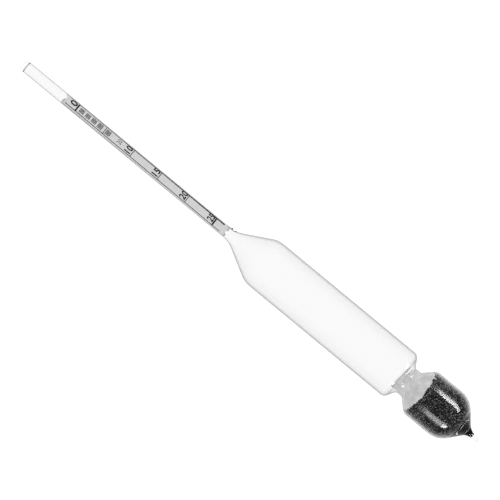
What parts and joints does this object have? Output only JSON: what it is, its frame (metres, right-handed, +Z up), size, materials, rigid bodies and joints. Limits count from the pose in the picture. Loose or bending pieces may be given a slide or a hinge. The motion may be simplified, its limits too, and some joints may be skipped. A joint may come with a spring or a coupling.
{
  "type": "hydrometer",
  "caption": "Sealed glass float with a thin graduated stem above, a cylindrical air chamber, and a weighted bulb that ends in a drawn point.",
  "frame": {"origin": "on the stem's axis at the zero graduation, where the surface of plain water cuts the stem", "axes": "+Z up the stem, as the hydrometer floats; -Y is the side from which the scale is read; +X is to the reader's right"},
  "size_m": [0.023, 0.023, 0.25],
  "materials": {
    "stem_glass": "clear, fire polished",
    "body_glass": "clear, fire polished",
    "paper": "uncoated, printed in black",
    "glue": "dried clear glue",
    "resin": "cloudy casting resin",
    "shot": "dark steel pellets"
  },
  "bodies": {
    "root": {"stem_seal": "stem_glass", "stem_tube": "stem_glass", "float_body": "body_glass", "ballast_bulb": "body_glass", "tail": "body_glass", "scale_paper": "paper", "upper_glue": "glue", "lower_glue": "glue", "ballast_resin": "resin", "ballast_shot": "shot"}
  },
  "joints": []
}
